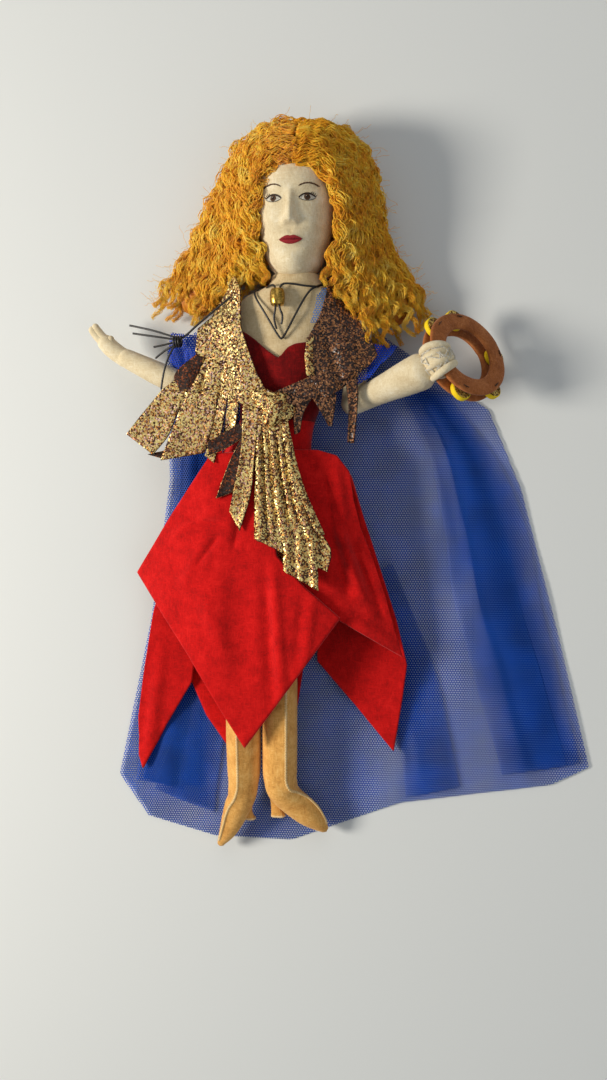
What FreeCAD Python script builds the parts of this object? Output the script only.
"""Felt doll puppet lying on its back on its own tulle cape.

Frame, in millimetres: the doll lies face up on the plane z = 0, +Z points out of its chest, +Y runs
from its feet to its head, and +X to its own left. The origin is on that plane, under the waist.
"right" and "left" are the doll's own sides, so right parts have the lower x.
"""
import FreeCAD, Part
import math
import os

import Sketcher
from FreeCAD import Placement, Rotation, Vector

DOC = FreeCAD.newDocument("FeltDoll")
SHEET = DOC.addObject("Spreadsheet::Sheet", "Sizes")

SIZES = {
    # cloth and wire
    "felt_thick": 1.2,
    "cape_thick": 0.6,
    "shawl_thick": 0.9,
    "wire_radius": 0.8,
    "bore_radius": 0.86,
    "cord_radius": 0.36,
    # wool core of the trunk: half width and half depth of each section
    "neck_half_width": 7.6,
    "neck_half_depth": 7.2,
    "shoulder_half_width": 19.0,
    "shoulder_half_depth": 8.4,
    "chest_half_width": 17.0,
    "chest_half_depth": 9.3,
    "waist_half_width": 12.0,
    "waist_half_depth": 8.6,
    "hip_half_width": 15.5,
    "hip_half_depth": 9.2,
    "dress_gap": 1.3,
    # neck and head, on one axis along Y
    "neck_axis_x": 10.0,
    "neck_axis_z": 17.0,
    "neck_radius": 7.2,
    "neck_length": 6.2,
    "head_radius": 14.8,
    "stitch_height": 0.35,
    # limbs
    "arm_height": 11.5,
    "arm_radius": 3.8,
    "right_wrist_radius": 2.7,
    "left_wrist_radius": 5.2,
    "lap_height": 3.2,
    "leg_height": 10.0,
    "leg_radius": 5.9,
    "fork_slot": 2.2,
    "heel_radius": 1.9,
    # tambourine
    "ring_outer": 15.4,
    "ring_inner": 9.4,
    "ring_thick": 1.7,
    "ring_gap": 2.6,
    "jingle_radius": 3.6,
    "jingle_thick": 2.0,
    "jingle_bore": 0.46,
    "jingle_pin": 0.4,
    "jingle_circle": 14.0,
    "fist_radius": 5.4,
    # necklace
    "bead_radius": 2.5,
    "bead_length": 5.6,
    "bead_bore": 0.95,
    "block_height": 20.0,
}
for row, (alias, value) in enumerate(SIZES.items(), 1):
    SHEET.set(f"A{row}", alias)
    SHEET.set(f"B{row}", str(value))
    SHEET.setAlias(f"B{row}", alias)
DOC.recompute()

X_AXIS, Y_AXIS, Z_AXIS = Vector(1, 0, 0), Vector(0, 1, 0), Vector(0, 0, 1)
SUBPARTS = []

# Places along the body, from the origin under the waist
SHOULDER_Y = 33.0
HIP_Y = -20.5
CORE_END_Y = -13.5
NECK_Y = 44.0
HEAD_Y = 50.6
SKIRT_HINGE_Y = -14.2
LEG_X = {"right": -9.6, "left": 3.4}
SHOULDER_X = {"right": -19.0, "left": 32.0}
CAPE_TOP = 1.2


def size(alias):
    """The number in a cell of the sheet."""
    return float(getattr(SHEET, alias))


def bind(thing, **properties):
    """Ties properties of a document object to cells, or to formulas of cells."""
    for name, formula in properties.items():
        thing.setExpression(name, formula)
    return thing


def keep(thing, label):
    """Marks a document object as a sub-part that is written out."""
    thing.Label = label
    SUBPARTS.append(thing)
    return thing


# ---------------------------------------------------------------- building blocks


def origin_plane(body, role):
    return next(f for f in body.Origin.OriginFeatures if f.Role == role)


def sketch_in(body, name, plane, curves):
    """A sketch on one of a body's origin planes, from curves that follow each other round a loop."""
    sketch = body.newObject("Sketcher::SketchObject", name)
    sketch.AttachmentSupport = [(origin_plane(body, plane), "")]
    sketch.MapMode = "FlatFace"
    sketch.addGeometry(curves, False)
    return sketch


def loop(corners):
    """Straight lines round a closed outline of (x, y) corners."""
    points = [Vector(x, y, 0) for x, y in corners]
    return [Part.LineSegment(a, b) for a, b in zip(points, points[1:] + points[:1])]


def felt_piece(label, corners, thickness, height=0.0, turn=None, pivot=(0.0, 0.0)):
    """A flat cut piece: an outline in x and y, padded up from height. turn is (axis, degrees) about pivot."""
    body = DOC.addObject("PartDesign::Body", label)
    local = [(x - pivot[0], y - pivot[1]) for x, y in corners]
    outline = sketch_in(body, label + "_outline", "XY_Plane", loop(local))
    pad = body.newObject("PartDesign::Pad", label + "_pad")
    pad.Profile = outline
    bind(pad, Length=f"Sizes.{thickness}")
    rotation = Rotation(*turn) if turn else Rotation()
    body.Placement = Placement(Vector(pivot[0], pivot[1], height), rotation)
    return body


def turned(label, curves, place):
    """A solid of revolution about its body's own Y axis."""
    body = DOC.addObject("PartDesign::Body", label)
    profile = sketch_in(body, label + "_profile", "XY_Plane", curves)
    turn = body.newObject("PartDesign::Revolution", label + "_turn")
    turn.Profile = profile
    turn.ReferenceAxis = (profile, ["V_Axis"])
    turn.Angle = 360
    body.Placement = place
    return body


def primitive(kind, name, place, **formulas):
    thing = DOC.addObject("Part::" + kind, name)
    bind(thing, **formulas)
    thing.Placement = place
    return thing


def along(start, end):
    """The placement whose Z axis runs from start to end."""
    start, end = Vector(*start), Vector(*end)
    return Placement(start, Rotation(Z_AXIS, end - start))


def rod(name, start, end, first, last=None):
    """A round rod or cone from start to end. first and last are formulas for its radii."""
    length = (Vector(*end) - Vector(*start)).Length
    if last is None:
        return primitive("Cylinder", name, along(start, end), Radius=first, Height=str(length))
    return primitive("Cone", name, along(start, end), Radius1=first, Radius2=last, Height=str(length))


def ball(name, centre, radius):
    return primitive("Sphere", name, Placement(Vector(*centre), Rotation()), Radius=radius)


def egg(name, centre, half_x, half_y, half_z):
    place = Placement(Vector(*centre), Rotation())
    return primitive(
        "Ellipsoid", name, place, Radius1=str(half_z), Radius2=str(half_x), Radius3=str(half_y)
    )


def block(name, low, high):
    place = Placement(Vector(*low), Rotation())
    sides = {k: str(h - l) for k, l, h in zip(("Length", "Width", "Height"), low, high)}
    return primitive("Box", name, place, **sides)


def fuse(name, *pieces):
    thing = DOC.addObject("Part::MultiFuse", name)
    thing.Shapes = list(pieces)
    return thing


def cut(name, base, *tools):
    thing = DOC.addObject("Part::Cut", name)
    thing.Base = base
    thing.Tool = tools[0] if len(tools) == 1 else fuse(name + "_tools", *tools)
    return thing


def common(name, one, other):
    thing = DOC.addObject("Part::Common", name)
    thing.Base, thing.Tool = one, other
    return thing


def section(name, y, centre_x, centre_z, wide, deep):
    """An ellipse across the body at y, with its half width along X and its half depth along Z."""
    place = Placement(Vector(centre_x, y, centre_z), Rotation(X_AXIS, 90))
    return primitive("Ellipse", name, place, MajorRadius=wide, MinorRadius=deep)


def loft(name, sections, ruled=False):
    thing = DOC.addObject("Part::Loft", name)
    thing.Sections = sections
    thing.Solid = True
    thing.Ruled = ruled
    return thing


# ---------------------------------------------------------------- cords


def cord_path(points):
    """Straight runs joined by tangent arcs, each as large as its two runs allow."""
    points = [Vector(*p) for p in points]
    edges, at = [], points[0]
    for before, corner, after in zip(points, points[1:], points[2:]):
        back, on = before - corner, after - corner
        half_turn = (math.pi - back.getAngle(on)) / 2
        reach = 0.45 * min(back.Length, on.Length)
        radius = reach / math.tan(half_turn)
        back.normalize()
        on.normalize()
        start, end = corner + back * reach, corner + on * reach
        inward = (back + on).normalize()
        middle = corner + inward * (radius / math.cos(half_turn) - radius)
        edges += [Part.LineSegment(at, start).toShape(), Part.Arc(start, middle, end).toShape()]
        at = end
        print(f"  bend of {math.degrees(2 * half_turn):5.1f} degrees, radius {radius:6.2f}")
    edges.append(Part.LineSegment(at, points[-1]).toShape())
    return Part.Wire(edges)


def cord(label, points):
    """A round cord along a route, as its own solid."""
    print(label)
    path = cord_path(points)
    first = path.Edges[0]
    direction = first.tangentAt(first.FirstParameter)
    ring = Part.Wire(Part.Circle(Vector(*points[0]), direction, size("cord_radius")).toShape())
    thing = DOC.addObject("Part::Feature", label)
    thing.Shape = path.makePipeShell([ring], True, False)
    expected = math.pi * size("cord_radius") ** 2 * path.Length
    share = thing.Shape.Volume / expected
    print(f"  length {path.Length:.1f}, volume over section times length {share:.3f}")
    return thing


# ---------------------------------------------------------------- trunk


def trunk_loft(name, grown=""):
    """The trunk's outer form through five sections. grown is a formula added to each half size."""
    stations = (
        ("neck", NECK_Y, size("neck_axis_x"), size("neck_axis_z")),
        ("shoulder", 36.0, 7.5, 13.6),
        ("chest", 24.0, 6.5, 12.6),
        ("waist", 2.0, 3.0, 12.6),
        ("hip", CORE_END_Y, -2.5, 12.0),
    )
    rings = [
        section(
            f"{name}_{part}", y, x, z, f"Sizes.{part}_half_width{grown}", f"Sizes.{part}_half_depth{grown}"
        )
        for part, y, x, z in stations
    ]
    return loft(name, rings)


def make_trunk():
    """Wool core, neck, wires inside, bodice and the skirt's waistband."""
    x, z = size("neck_axis_x"), size("neck_axis_z")
    arm_z, leg_z = size("arm_height"), size("leg_height")
    spine = (x, 4.0, z), (x, 62.0, z)
    spine_bore = rod("spine_bore", (x, 3.5, z), (x, 70.0, z), "Sizes.bore_radius")
    bar = (SHOULDER_X["right"], SHOULDER_Y, arm_z), (SHOULDER_X["left"], SHOULDER_Y, arm_z)
    bar_bore = rod("shoulder_bore", *bar, "Sizes.bore_radius")
    keep(cut("core_cut", trunk_loft("core_form"), spine_bore, bar_bore), "body_core")
    neck = rod("neck_form", (x, NECK_Y, z), (x, NECK_Y + size("neck_length"), z), "Sizes.neck_radius")
    neck_bore = rod("neck_bore", (x, 40.0, z), (x, 60.0, z), "Sizes.bore_radius")
    keep(cut("neck_cut", neck, neck_bore), "neck")
    keep(rod("spine_rod", *spine, "Sizes.wire_radius"), "spine_wire")

    posts = [
        rod(f"shoulder_post_{side}", (px, SHOULDER_Y, arm_z - 2.9), (px, SHOULDER_Y, arm_z + 2.9),
            "Sizes.wire_radius")
        for side, px in SHOULDER_X.items()
    ]
    keep(fuse("shoulder_wires", rod("shoulder_bar", *bar, "Sizes.wire_radius"), *posts), "shoulder_wire")

    loops = []
    for side, loop_x in (("right", -17.0), ("left", 10.8)):
        ring = rod(f"loop_{side}", (loop_x - 0.6, HIP_Y, leg_z), (loop_x + 0.6, HIP_Y, leg_z),
                   "Sizes.wire_radius + 1")
        arm = rod(f"loop_arm_{side}", (loop_x, HIP_Y + 1, leg_z), (loop_x, CORE_END_Y, leg_z), "0.55")
        hole = rod(f"loop_hole_{side}", (loop_x - 2, HIP_Y, leg_z), (loop_x + 2, HIP_Y, leg_z),
                   "Sizes.bore_radius")
        loops.append(cut(f"loop_cut_{side}", fuse(f"loop_body_{side}", ring, arm), hole))
    keep(fuse("loop_pair", *loops), "hip_loops")

    shell = cut("dress_shell", trunk_loft("dress_outer", " + Sizes.dress_gap"),
                trunk_loft("dress_inner", " + 0.05"))
    upper = common("bodice_band", shell, block("bodice_box", (-60, 1.2, -5), (60, 30, 60)))
    neckline = felt_piece(
        "neckline",
        [(-12, 44), (-7.6, 31.4), (-3.4, 28.3), (0.3, 24.5), (5, 21.8), (7.6, 24.9), (14.8, 26.7), (21, 31),
         (25, 44)],
        "block_height",
        15,
    )
    keep(cut("bodice_cut", upper, neckline), "bodice")
    keep(common("waist_band", shell, block("waist_box", (-60, -13, -5), (60, 0.9, 60))), "skirt_waistband")


# ---------------------------------------------------------------- head


def head_curves(grow=0.0, bored=True):
    """Half profile of the head: round crown, full cheeks and a small flat chin on the neck."""
    r = size("head_radius") + grow
    low, cheek, top = HEAD_Y - grow, 71.0, 95.5 + grow
    crown = Part.Arc(Vector(0, top, 0), Vector(0.72 * r, cheek + 0.71 * (top - cheek), 0),
                     Vector(r, cheek, 0))
    jaw = Part.Arc(Vector(r, cheek, 0), Vector(0.87 * r, 60.5, 0), Vector(7.4 + grow, low, 0))
    bore = size("bore_radius")
    inner = [(7.4 + grow, low), (bore, low), (bore, 63.0), (0, 63.0), (0, top)] if bored else [
        (7.4 + grow, low), (0, low), (0, top)
    ]
    points = [Vector(x, y, 0) for x, y in inner]
    return [crown, jaw] + [Part.LineSegment(a, b) for a, b in zip(points, points[1:])]


def on_face(label, prisms):
    """Thread laid on the face: a thin skin over the head, kept only inside the prisms."""
    place = Placement(Vector(size("neck_axis_x"), 0, size("neck_axis_z")), Rotation())
    outer = turned(label + "_outer", head_curves(size("stitch_height"), False), place)
    inner = turned(label + "_inner", head_curves(0.0, False), place)
    skin = cut(label + "_skin", outer, inner)
    tool = prisms[0] if len(prisms) == 1 else fuse(label + "_areas", *prisms)
    keep(common(label + "_thread", skin, tool), label)


def prism(name, corners):
    """A tall outline over the face, to cut thread shapes with."""
    return felt_piece(name, corners, "block_height", size("neck_axis_z") + 4.0)


def make_head():
    """Felt head with a raised nose, sewn eyes, brows and lips, and the wool hair cap."""
    x, z = size("neck_axis_x"), size("neck_axis_z")
    place = Placement(Vector(x, 0, z), Rotation())
    skull = turned("skull", head_curves(), place)
    nose = egg("nose_form", (x, 67.6, z + 14.3), 1.7, 5.2, 1.9)
    keep(fuse("head_form", skull, nose), "head")

    eye_y, eye_gap, eye_wide, eye_tall = 73.0, 5.9, 2.6, 1.3
    eyes, brows = [], []
    for side in (-1, 1):
        cx = x + side * eye_gap
        lens = [(cx + eye_wide * math.cos(a), eye_y + eye_tall * math.sin(a)) for a in
                (math.radians(k) for k in range(0, 360, 45))]
        eyes.append(prism(f"eye_area_{side}", lens))
        brows.append(prism(f"brow_area_{side}", [
            (cx - 3.0, 76.6), (cx, 77.6), (cx + 3.0, 76.6), (cx + 3.0, 77.1), (cx, 78.2), (cx - 3.0, 77.1)
        ]))
    on_face("eye_stitches", eyes)
    on_face("brow_stitches", brows)
    on_face("lip_stitches", [prism("lip_area", [
        (x - 4.2, 59.6), (x, 58.1), (x + 4.2, 59.6), (x + 1.4, 60.9), (x, 60.4), (x - 1.4, 60.9)
    ])])

    wool = egg("cap_form", (x, 75.0, 16.2), 29.0, 26.8, 14.8)
    room = turned("cap_room", head_curves(0.0, False), place)
    face = block("cap_face", (x - 13.5, 40, z + 1.5), (x + 13.5, 90, 60))
    below = block("cap_below", (-60, 30, -10), (80, 58, 60))
    keep(cut("cap_cut", wool, room, face, below), "hair_cap")


def make_hair_falls():
    """The wool hanging past the shoulders on both sides, lying on the floor."""
    for side, outline in (
        ("right", [(-18, 57), (-5.5, 57), (-9, 49), (-14, 42.5), (-27, 39.5), (-35, 36.5), (-41, 40),
                   (-43, 47)]),
        ("left", [(26, 57), (39, 57), (50, 49), (53, 39), (50, 29), (42, 24), (37.5, 27), (36.8, 38),
                  (26, 44)]),
    ):
        label = f"hair_fall_{side}"
        keep(felt_piece(label, outline, "head_radius", 1.3), label)


# ---------------------------------------------------------------- clothes


def make_petals():
    """Square-cut felt petals of the skirt: five low ones, and two that lie over the legs."""
    low, upper = CAPE_TOP, CAPE_TOP + 1.3
    keep(felt_piece("petal_back_middle", [(-16, -14), (13, -14), (19, -66), (-1, -98), (-19, -66)],
                    "felt_thick", low), "petal_back_middle")
    keep(felt_piece("petal_back_right", [(-13, -14), (1, -14), (-4, -90), (-16.8, -114), (-23, -106),
                                         (-30.6, -90)],
                    "felt_thick", upper), "petal_back_right")
    keep(felt_piece("petal_back_left", [(1.3, -14), (12, -14), (14.5, -58), (8.5, -99), (-2.5, -86)],
                    "felt_thick", upper), "petal_back_left")
    keep(felt_piece("petal_side_right", [(-19, -14), (-29, -40), (-43, -69), (-48.5, -95), (-49.4, -113),
                    (-46.7, -121.6), (-31.4, -90.4), (-25.5, -62)], "felt_thick", upper), "petal_side_right")
    keep(felt_piece("petal_side_left", [(17, -14), (29, -14), (40, -54), (47.5, -83), (42.7, -114.2),
                    (15.8, -84), (16.2, -58)], "felt_thick", upper), "petal_side_left")
    slope, hinge_z = (X_AXIS, 3.2), 22.9
    keep(felt_piece("petal_front_right", [(-12, SKIRT_HINGE_Y), (13, SKIRT_HINGE_Y), (26, -67), (-6.1, -111),
                    (-44.3, -50.3)], "felt_thick", hinge_z, slope, (0, SKIRT_HINGE_Y)), "petal_front_right")
    keep(felt_piece("petal_front_left", [(8, SKIRT_HINGE_Y), (28.5, SKIRT_HINGE_Y), (39.5, -54),
                                         (47.7, -81.8),
                    (18, -60.8), (-0.8, -45)], "felt_thick", hinge_z + 1.4, slope, (0, SKIRT_HINGE_Y)),
         "petal_front_left")


def make_cape():
    """The tulle cape, spread flat under the doll, with its two long edges folded over."""
    body = DOC.addObject("PartDesign::Body", "cape_body")
    edge = [(-16, 43), (-40, 30), (-39, -18), (-46, -69), (-58, -126), (-47, -141), (-22, -148), (6, -148.5),
            (45, -133), (87, -127), (110, -118.5), (100, -74), (87, -22), (76, 5.5), (58, 18.5), (22, 46)]
    right_fold = [(-38, 20), (-37, -18), (-44, -69), (-50, -128), (-27, -130), (-22, -60), (-24, 20)]
    left_fold = [(46, 17), (62, 8), (80, -22), (94, -74), (103, -117), (86, -123), (80, -74), (66, -30)]
    for name, corners in (("sheet", edge), ("right_fold", right_fold), ("left_fold", left_fold)):
        outline = sketch_in(body, "cape_" + name, "XY_Plane", loop(corners))
        pad = body.newObject("PartDesign::Pad", "cape_pad_" + name)
        pad.Profile = outline
        bind(pad, Length="Sizes.cape_thick" if name == "sheet" else "Sizes.cape_thick * 1.8")
    keep(body, "cape")


def fringe(base_start, base_end, tips, share=0.8):
    """A comb outline: one strip from the base line to each tip, with a cut between neighbours."""
    start, end = Vector(*base_start, 0), Vector(*base_end, 0)
    step = (end - start) * (1.0 / len(tips))
    corners = [(start.x, start.y)]
    for k, (tip_a, tip_b) in enumerate(tips):
        corners += [tip_a, tip_b]
        if k < len(tips) - 1:
            root = start + step * (k + 1)
            middle = Vector((tip_b[0] + tips[k + 1][0][0]) / 2, (tip_b[1] + tips[k + 1][0][1]) / 2, 0)
            notch = root + (middle - root) * (1 - share)
            corners.append((notch.x, notch.y))
    corners.append((end.x, end.y))
    return corners


def make_shawl():
    """Glitter shawl: collar behind the neck, a front on each side, the knot, its tail and the fringes."""
    x, z = size("neck_axis_x"), size("neck_axis_z")
    outer = rod("collar_outer", (x, 44.2, z), (x, 49.6, z), "12.9")
    inner = rod("collar_inner", (x, 40, z), (x, 60, z), "12")
    front = block("collar_front", (-60, 30, z + 2), (80, 60, 60))
    keep(cut("collar_cut", outer, inner, front), "shawl_collar")

    right_fringe = fringe((-28.2, 12.5), (-9, 4.6),
                          [((-47.9, -3.3), (-43, -11.2)), ((-40.4, -13.4), (-35.4, -14)),
                           ((-33.6, -15), (-28.5, -15.2)), ((-25.8, -13.4), (-21.8, -11)),
                           ((-19.4, -7.5), (-15, -7))])
    right = felt_piece("front_right_plate", [(-7.0, 32), (-7.8, 43.5), (-11.8, 44.5),
                                             (-24.6, 31)] + right_fringe
                       + [(3, 6.5), (1.5, 12.5)], "shawl_thick", 22.0, (Y_AXIS, -8), (-2, 0))
    left_fringe = fringe((33.5, 16), (20, 10), [((33, -4), (30, -4.2)), ((26.6, -1.4), (23.6, -1))])
    left = felt_piece("front_left_plate", [(19, 31), (19.5, 41), (41.5, 25.5), (36.5, 19)] + left_fringe
                      + [(8.6, 6.5), (8.6, 12.5), (13, 20)], "shawl_thick", 22.3, (Y_AXIS, 8), (12, 0))
    body_form = DOC.getObject("dress_outer")
    keep(cut("front_right_cut", right, body_form), "shawl_front_right")
    keep(cut("front_left_cut", left, body_form), "shawl_front_left")
    knot = egg("knot_form", (2.6, 1.6, 24.0), 6.4, 4.4, 2.4)
    keep(cut("knot_cut", knot, body_form), "shawl_knot")

    slope, tail_z = (X_AXIS, 3.2), 25.8
    keep(felt_piece("shawl_tail_root", [(-5, -3.6), (8, -3.6), (9, -10.6), (-6.5, -10.6)], "shawl_thick",
                    tail_z - 2),
         "shawl_tail_root")
    tail = fringe((-6.8, SKIRT_HINGE_Y), (9.2, SKIRT_HINGE_Y),
                  [((-10.6, -36.5), (-5, -40)), ((1.8, -42), (7.8, -47)), ((10, -53), (15, -56)),
                   ((16.8, -57.2), (22.6, -56.4)), ((21.8, -50), (19, -42))], 0.6)
    keep(felt_piece("shawl_tail", tail, "shawl_thick", tail_z, slope, (0, SKIRT_HINGE_Y)), "shawl_tail")


def make_cords():
    """Choker through the gold bead, the long necklace, and the knotted tassel at the right shoulder."""
    keep(cord("choker_cord", [
        (4.64, 41.2, 26.0), (4.64, 45.7, 26.0), (2.0, 46.0, 24.2), (0.1, 45.6, 20.6), (0.2, 46.3, 15.6),
        (3.2, 46.9, 10.2), (7.6, 47.2, 7.8), (12.4, 47.2, 7.8), (17.4, 46.8, 10.8), (20.0, 46.2, 17.0),
        (18.6, 45.4, 22.6), (14.4, 45.0, 25.8), (9.5, 45.9, 26.6), (5.56, 45.9, 26.0), (5.56, 41.2, 26.0),
    ]), "choker_cord")
    keep(cord("necklace_cord", [
        (8.6, 48.6, 6.6), (3.4, 48.0, 8.0), (-0.4, 46.6, 13.6), (-1.2, 44.6, 20.0), (-1.8, 41.2, 22.9),
        (1.4, 35.0, 23.3), (5.1, 28.6, 22.9), (6.5, 28.4, 22.9), (10.2, 35.2, 23.6), (14.4, 41.4, 25.2),
        (19.6, 44.6, 23.4), (20.8, 46.2, 17.8), (19.2, 47.2, 11.2), (15.4, 48.2, 7.6), (11.4, 48.6, 6.6),
    ]), "necklace_cord")
    ends = [
        cord(f"choker_end_{k}", points)
        for k, points in enumerate((
            [(4.64, 40.8, 26.0), (4.5, 37.4, 26.0), (3.5, 34.4, 25.2), (4.6, 31.2, 24.2)],
            [(5.56, 40.8, 26.0), (5.7, 37.6, 26.0), (7.1, 35.3, 25.4), (6.2, 32.7, 24.6)],
        ))
    ]
    keep(fuse("choker_ends_pair", *ends), "choker_ends")

    length, outer, bore = size("bead_length"), size("bead_radius"), size("bead_bore")
    flat = outer - 0.5
    barrel = Part.Arc(Vector(flat, length / 2, 0), Vector(outer, 0, 0), Vector(flat, -length / 2, 0))
    walls = [Vector(flat, -length / 2, 0), Vector(bore, -length / 2, 0), Vector(bore, length / 2, 0),
             Vector(flat, length / 2, 0)]
    curves = [barrel] + [Part.LineSegment(a, b) for a, b in zip(walls, walls[1:])]
    keep(turned("bead_body", curves, Placement(Vector(5.1, 41.5, 26.0), Rotation())), "gold_bead")

    keep(cord("tassel_cord_long", [
        (-48.7, 35.3, 18.0), (-40.5, 33.2, 20.0), (-32.0, 30.2, 21.0), (-29.2, 29.4, 21.0),
        (-29.0, 28.3, 21.0),
        (-32.0, 27.4, 20.9), (-36.0, 19.8, 19.6), (-37.3, 12.6, 18.2),
    ]), "tassel_cord_long")
    keep(cord("tassel_cord_short", [
        (-47.6, 32.5, 17.8), (-41.0, 31.2, 19.2), (-32.4, 29.6, 20.1), (-29.4, 29.2, 20.1),
        (-29.2, 28.1, 20.1),
        (-32.4, 27.4, 19.9), (-36.0, 26.0, 18.8), (-39.4, 23.6, 17.8),
    ]), "tassel_cord_short")
    keep(cord("tassel_cord_edge", [
        (-40.1, 27.6, 17.6), (-34.0, 28.2, 18.8), (-28.9, 30.2, 19.2), (-24.0, 34.0, 20.6),
        (-18.0, 38.2, 22.0),
        (-11.5, 42.6, 23.6),
    ]), "tassel_cord_edge")
    wrap = primitive("Torus", "tassel_wrap", Placement(Vector(-30.9, 28.7, 20.1), Rotation(Y_AXIS, 90)),
                     Radius1="2.4", Radius2="0.4")
    keep(wrap, "tassel_knot")


# ---------------------------------------------------------------- arms


def make_arm(side, elbow, hand_end, wrist_radius, lap_run, wrist_share):
    """Upper arm and forearm as felt tubes that lap over each other on a pin at the elbow."""
    z, tall = size("arm_height"), size("lap_height")
    shoulder = Vector(SHOULDER_X[side], SHOULDER_Y, z)
    bend = Vector(elbow[0], elbow[1], z)
    towards = (shoulder - bend).normalize()
    reach = Vector(*hand_end) - bend
    outward = Vector(reach.x, reach.y, 0).normalize()

    def lap(name, direction, low):
        """The half-height end: a disc round the pin and a bar that joins it to the tube."""
        disc = primitive("Cylinder", name + "_disc", Placement(Vector(bend.x, bend.y, low), Rotation()),
                         Radius="Sizes.arm_radius - 0.2", Height="Sizes.lap_height")
        turn = Rotation(X_AXIS, direction)
        corner = Vector(bend.x, bend.y, low) + turn.multVec(Vector(0, -2.8, 0))
        bar = primitive("Box", name + "_bar", Placement(corner, turn),
                        Length=str(lap_run + 2.5), Width="5.6", Height="Sizes.lap_height")
        return disc, bar

    pin_hole = rod(f"elbow_hole_{side}", (bend.x, bend.y, 0), (bend.x, bend.y, 30), "Sizes.bore_radius")
    tube = rod(f"upper_tube_{side}", bend + towards * (lap_run + 1.2), shoulder, "Sizes.arm_radius")
    inner = -1 if side == "left" else 1
    slot_x = sorted((shoulder.x - inner * 1.4, shoulder.x + inner * 8))
    slot = block(f"shoulder_slot_{side}", (slot_x[0], SHOULDER_Y - 2, z - size("fork_slot") / 2),
                 (slot_x[1], SHOULDER_Y + 8, z + size("fork_slot") / 2))
    post_hole = rod(f"post_hole_{side}", (shoulder.x, shoulder.y, z - 20), (shoulder.x, shoulder.y, z + 20),
                    "Sizes.bore_radius")
    form = fuse(f"upper_form_{side}", ball(f"shoulder_ball_{side}", shoulder, "Sizes.arm_radius"), tube,
                *lap(f"upper_lap_{side}", towards, z + 0.2))
    keep(cut(f"upper_cut_{side}", form, slot, post_hole, pin_hole), f"upper_arm_{side}")
    keep(rod(f"elbow_rod_{side}", (bend.x, bend.y, z - tall + 0.2), (bend.x, bend.y, z + tall - 0.2),
             "Sizes.wire_radius"), f"elbow_pin_{side}")

    start = bend + outward * lap_run
    wrist = start + (Vector(*hand_end) - start) * wrist_share
    fore = rod(f"fore_tube_{side}", start, wrist, "Sizes.arm_radius", f"Sizes.{wrist_radius}")
    form = fuse(f"fore_form_{side}", fore, ball(f"fore_ball_{side}", start, "Sizes.arm_radius"),
                *lap(f"fore_lap_{side}", outward, z - tall - 0.2))
    keep(cut(f"fore_cut_{side}", form, pin_hole), f"forearm_{side}")
    return wrist, (Vector(*hand_end) - start).normalize()


RING_CENTRE = Vector(67.0, 21.5, 16.5)
RING_TURN = 30.0
RING_TILT = 44.0
JINGLE_ANGLES = (112.0, 68.0, -17.0, -75.0, -135.0)
FIST_ANGLE = 172.0
FIST_CIRCLE = 12.4


def ring_place():
    """The tambourine's placement: its own X axis points down its slope, its Z axis is the hoop's axis."""
    return Placement(RING_CENTRE, Rotation(Z_AXIS, RING_TURN) * Rotation(Y_AXIS, RING_TILT))


def on_ring(radius, degrees, lift=0.0):
    """A point of the tambourine in the common frame."""
    a = math.radians(degrees)
    return ring_place().multVec(Vector(radius * math.cos(a), radius * math.sin(a), lift))


def make_hands(right_wrist, right_way, left_wrist):
    """Open mitten hand on the right, and the fist that wraps the tambourine's rim on the left."""
    side = Vector(-right_way.y, right_way.x, 0) * -1
    palm_end = right_wrist + right_way * 7.5
    palm = rod("palm", right_wrist, palm_end, "Sizes.right_wrist_radius", "2.3")
    tip = palm_end + right_way * 6.5 + side * 1.6
    fingers = rod("fingers", palm_end, tip, "2.1", "1.3")
    thumb_tip = right_wrist + right_way * 8.4 + side * 3.6
    thumb = rod("thumb", right_wrist + right_way * 4 + side * 0.8, thumb_tip, "1.5", "1.0")
    keep(fuse("hand_form", palm, fingers, thumb, ball("palm_ball", palm_end, "2.25"),
              ball("finger_ball", tip, "1.3"), ball("thumb_ball", thumb_tip, "1.0")), "hand_right")

    centre = on_ring(FIST_CIRCLE, FIST_ANGLE)
    knob = ball("fist_knob", centre, "Sizes.fist_radius")
    cuff = rod("fist_cuff", left_wrist, centre, "Sizes.left_wrist_radius", "Sizes.fist_radius - 0.6")
    deep = size("ring_gap") / 2 + size("ring_thick") + 0.3
    place = ring_place() * Placement(Vector(0, 0, -deep), Rotation())
    tunnel = cut("fist_tunnel",
                 primitive("Cylinder", "tunnel_outer", place, Radius="Sizes.ring_outer + 0.3",
                           Height=str(2 * deep)),
                 primitive("Cylinder", "tunnel_inner", place, Radius="Sizes.ring_inner - 0.3",
                           Height=str(2 * deep)))
    keep(cut("fist_cut", fuse("fist_form", knob, cuff), tunnel), "fist_left")


def circles(*rings):
    """Full circles, each given as (x, y, radius)."""
    return [Part.Circle(Vector(x, y, 0), Z_AXIS, radius) for x, y, radius in rings]


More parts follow.
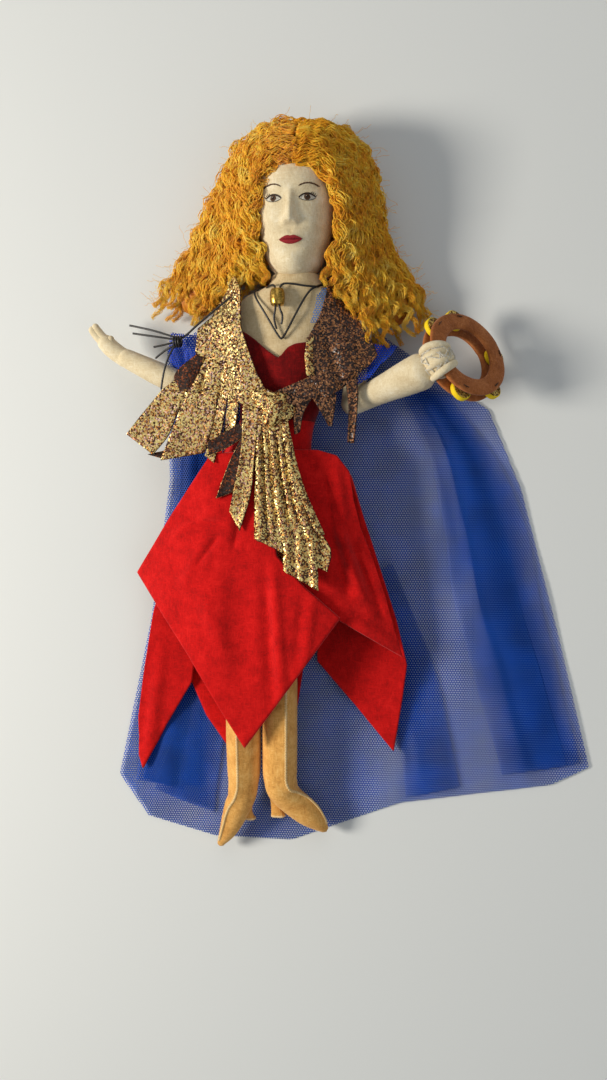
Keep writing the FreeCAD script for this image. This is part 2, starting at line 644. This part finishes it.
def make_tambourine():
    """Two felt rings, the threads that join them, and a thick gold disc on every thread."""
    place = ring_place()
    spots = [(math.radians(a), size("jingle_circle")) for a in JINGLE_ANGLES]
    spots = [(r * math.cos(a), r * math.sin(a)) for a, r in spots]
    holes = [(x, y, size("jingle_pin") + 0.01) for x, y in spots]
    half_gap, half_disc = size("ring_gap") / 2, size("jingle_thick") / 2
    for name, low in (("front", half_gap), ("back", -half_gap - size("ring_thick"))):
        body = DOC.addObject("PartDesign::Body", f"ring_{name}_body")
        outline = sketch_in(body, f"ring_{name}_outline", "XY_Plane",
                            circles((0, 0, size("ring_outer")), (0, 0, size("ring_inner")), *holes))
        pad = body.newObject("PartDesign::Pad", f"ring_{name}_pad")
        pad.Profile = outline
        bind(pad, Length="Sizes.ring_thick")
        body.Placement = place * Placement(Vector(0, 0, low), Rotation())
        keep(body, f"tambourine_ring_{name}")

    pins = []
    for k, (x, y) in enumerate(spots, 1):
        foot = place * Placement(Vector(x, y, -half_gap - size("ring_thick")), Rotation())
        pins.append(primitive("Cylinder", f"pin_{k}", foot, Radius="Sizes.jingle_pin",
                              Height="Sizes.ring_gap + Sizes.ring_thick * 2"))
        body = DOC.addObject("PartDesign::Body", f"jingle_{k}_body")
        outline = sketch_in(body, f"jingle_{k}_outline", "XY_Plane",
                            circles((0, 0, size("jingle_radius")), (0, 0, size("jingle_bore"))))
        pad = body.newObject("PartDesign::Pad", f"jingle_{k}_pad")
        pad.Profile = outline
        bind(pad, Length="Sizes.jingle_thick")
        body.Placement = place * Placement(Vector(x, y, -half_disc), Rotation())
        keep(body, f"jingle_{k}")
    keep(fuse("pin_set", *pins), "jingle_threads")


# ---------------------------------------------------------------- legs


BOOTS = {  # place along X from the leg's axis, Y, height, radius and turn of each section below the ankle
    "right": [(0.0, -121.0, 10.0, 5.5, 0), (-0.6, -128.0, 9.2, 5.1, -10), (-3.0, -134.5, 7.9, 4.5, -20),
              (-5.9, -140.5, 6.5, 3.2, -24), (-8.7, -146.6, 5.4, 1.6, -24)],
    "left": [(0.0, -118.0, 10.0, 5.5, 0), (1.4, -125.6, 9.2, 5.4, 22), (5.6, -131.4, 7.7, 4.9, 42),
             (10.6, -136.0, 6.2, 3.7, 50), (14.8, -139.6, 5.0, 1.9, 52)],
}
HEELS = {"right": ((2.9, -127.0, 7.4), (2.5, -140.6, 5.6)),
         "left": ((-2.6, -124.0, 7.4), (-1.6, -138.2, 5.6))}


def make_leg(side):
    """Felt leg and pointed boot in one, forked at the hip for the wire, with a small heel peg."""
    x, z = LEG_X[side], size("leg_height")
    rings = []
    for k, (off, y, high, radius, turn) in enumerate(BOOTS[side]):
        place = Placement(Vector(x + off, y, high), Rotation(Z_AXIS, turn) * Rotation(X_AXIS, 90))
        rings.append(primitive("Circle", f"boot_ring_{side}_{k}", place, Radius=str(radius)))
    boot = loft(f"boot_{side}", rings)
    ankle_y = BOOTS[side][0][1]
    shin = rod(f"leg_tube_{side}", (x, HIP_Y, z), (x, ankle_y, z), "Sizes.leg_radius",
               "Sizes.leg_radius - 0.4")
    top = ball(f"leg_top_{side}", (x, HIP_Y, z), "Sizes.leg_radius")
    slot = block(f"leg_slot_{side}", (x - 8, HIP_Y - 2.6, z - size("fork_slot") / 2),
                 (x + 8, HIP_Y + 8, z + size("fork_slot") / 2))
    bore = rod(f"leg_bore_{side}", (x, HIP_Y, -10), (x, HIP_Y, 40), "Sizes.bore_radius")
    form = fuse(f"leg_form_{side}", boot, shin, top)
    keep(cut(f"leg_cut_{side}", form, slot, bore), f"leg_{side}")
    start, end = (Vector(x, 0, 0) + Vector(*point) for point in HEELS[side])
    heel = rod(f"heel_form_{side}", start, end, "Sizes.heel_radius", "Sizes.heel_radius - 0.3")
    keep(cut(f"heel_cut_{side}", heel, form), f"heel_{side}")


def make_hip_bar():
    z = size("leg_height")
    bar = rod("hip_rod", (-17.9, HIP_Y, z), (11.7, HIP_Y, z), "Sizes.wire_radius")
    posts = [rod(f"hip_post_{side}", (x, HIP_Y, z - 4.4), (x, HIP_Y, z + 4.4), "Sizes.wire_radius")
             for side, x in LEG_X.items()]
    keep(fuse("hip_wires", bar, *posts), "hip_bar")


# ---------------------------------------------------------------- assembly


make_trunk()
make_head()
make_hair_falls()
make_petals()
make_cape()
make_shawl()
make_cords()
wrist_r, way_r = make_arm("right", (-24.7, 12.2), (-58.0, 30.8, 11.5), "right_wrist_radius", 7.6, 0.84)
fist = on_ring(FIST_CIRCLE, FIST_ANGLE)
wrist_l, way_l = make_arm("left", (29.0, 7.3), (fist.x, fist.y, fist.z), "left_wrist_radius", 7.9, 0.62)
make_hands(wrist_r, way_r, wrist_l)
make_tambourine()
make_hip_bar()
make_leg("right")
make_leg("left")
DOC.recompute()

bad = [o.Label for o in DOC.Objects if "Invalid" in o.State or "Error" in o.State]
if bad:
    raise SystemExit(f"these objects failed: {bad}")
os.makedirs("parts", exist_ok=True)
for old in os.listdir("parts"):
    os.remove(os.path.join("parts", old))
for part in SUBPARTS:
    shape = part.Shape
    if shape.isNull() or not shape.isValid() or shape.Volume <= 0:
        raise SystemExit(f"{part.Label} has no valid solid")
    box = shape.BoundBox
    print(f"{part.Label:20} solids {len(shape.Solids)} volume {shape.Volume:9.1f} "
          f"x {box.XMin:6.1f} {box.XMax:6.1f} y {box.YMin:6.1f} {box.YMax:6.1f} "
          f"z {box.ZMin:5.1f} {box.ZMax:5.1f}")
    shape.exportStep(f"parts/{part.Label}.step")
print(len(SUBPARTS), "sub-parts")
